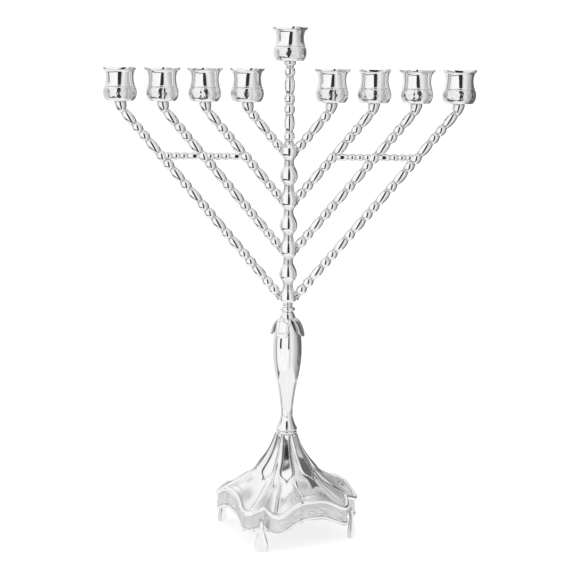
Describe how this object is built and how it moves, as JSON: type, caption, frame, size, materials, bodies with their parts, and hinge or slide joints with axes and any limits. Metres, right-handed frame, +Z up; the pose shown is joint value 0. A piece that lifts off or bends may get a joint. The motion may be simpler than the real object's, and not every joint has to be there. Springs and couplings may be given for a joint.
{
  "type": "menorah",
  "caption": "Silver-plated candelabrum with straight beaded branches, tulip candle cups, a turned ball column and a draped four-cornered base on leaf feet.",
  "frame": {"origin": "on the table plane under the column's axis", "axes": "+Z up the column, +X along the row of cups, -Y towards the viewer"},
  "size_m": [0.2606, 0.1034, 0.363],
  "materials": {
    "silver_plate": "polished",
    "cup_plate": "polished",
    "base_plate": "polished",
    "steel_fittings": "satin"
  },
  "bodies": {
    "stand": {"base_shell": "base_plate", "collar_ring": "silver_plate", "stem_collar": "silver_plate", "stem_vase": "silver_plate", "leaf_calyx": "silver_plate", "foot_front": "base_plate", "foot_right": "base_plate", "foot_back": "base_plate", "foot_left": "base_plate"},
    "branches": {"neck_knop": "silver_plate", "middle_shaft": "silver_plate", "tie_rod": "steel_fittings", "rod_washer": "steel_fittings", "rod_nut": "steel_fittings", "junction_ball_1": "silver_plate", "junction_ball_2": "silver_plate", "junction_ball_3": "silver_plate", "junction_ball_4": "silver_plate", "spacer_ball_1": "silver_plate", "spacer_ball_2": "silver_plate", "spacer_ball_3": "silver_plate", "branch_1": "silver_plate", "branch_2": "silver_plate", "branch_3": "silver_plate", "branch_4": "silver_plate", "branch_5": "silver_plate", "branch_6": "silver_plate", "branch_7": "silver_plate", "branch_8": "silver_plate", "tie_bar_left_inner": "silver_plate", "tie_bar_left_outer": "silver_plate", "tie_bar_right_inner": "silver_plate", "tie_bar_right_outer": "silver_plate"},
    "candle_cup_1_unit": {"candle_cup_1": "cup_plate", "cup_screw_1": "steel_fittings"},
    "candle_cup_2_unit": {"candle_cup_2": "cup_plate", "cup_screw_2": "steel_fittings"},
    "candle_cup_3_unit": {"candle_cup_3": "cup_plate", "cup_screw_3": "steel_fittings"},
    "candle_cup_4_unit": {"candle_cup_4": "cup_plate", "cup_screw_4": "steel_fittings"},
    "candle_cup_5_unit": {"candle_cup_5": "cup_plate", "cup_screw_5": "steel_fittings"},
    "candle_cup_6_unit": {"candle_cup_6": "cup_plate", "cup_screw_6": "steel_fittings"},
    "candle_cup_7_unit": {"candle_cup_7": "cup_plate", "cup_screw_7": "steel_fittings"},
    "candle_cup_8_unit": {"candle_cup_8": "cup_plate", "cup_screw_8": "steel_fittings"},
    "shamash_cup_unit": {"shamash_cup": "cup_plate", "shamash_screw": "steel_fittings"}
  },
  "joints": [
    {"name": "column_turn", "type": "hinge", "parent": "stand", "child": "branches", "pos_m": [0, 0, 0.1627], "axis": [0, 0, 1], "range_deg": [-45, 45]},
    {"name": "candle_cup_1_lift", "type": "slide", "parent": "branches", "child": "candle_cup_1_unit", "axis": [0, 0, 1], "range_m": [0, 0.01]},
    {"name": "candle_cup_2_lift", "type": "slide", "parent": "branches", "child": "candle_cup_2_unit", "axis": [0, 0, 1], "range_m": [0, 0.01]},
    {"name": "candle_cup_3_lift", "type": "slide", "parent": "branches", "child": "candle_cup_3_unit", "axis": [0, 0, 1], "range_m": [0, 0.01]},
    {"name": "candle_cup_4_lift", "type": "slide", "parent": "branches", "child": "candle_cup_4_unit", "axis": [0, 0, 1], "range_m": [0, 0.01]},
    {"name": "candle_cup_5_lift", "type": "slide", "parent": "branches", "child": "candle_cup_5_unit", "axis": [0, 0, 1], "range_m": [0, 0.01]},
    {"name": "candle_cup_6_lift", "type": "slide", "parent": "branches", "child": "candle_cup_6_unit", "axis": [0, 0, 1], "range_m": [0, 0.01]},
    {"name": "candle_cup_7_lift", "type": "slide", "parent": "branches", "child": "candle_cup_7_unit", "axis": [0, 0, 1], "range_m": [0, 0.01]},
    {"name": "candle_cup_8_lift", "type": "slide", "parent": "branches", "child": "candle_cup_8_unit", "axis": [0, 0, 1], "range_m": [0, 0.01]},
    {"name": "shamash_cup_lift", "type": "slide", "parent": "branches", "child": "shamash_cup_unit", "axis": [0, 0, 1], "range_m": [0, 0.01]}
  ]
}
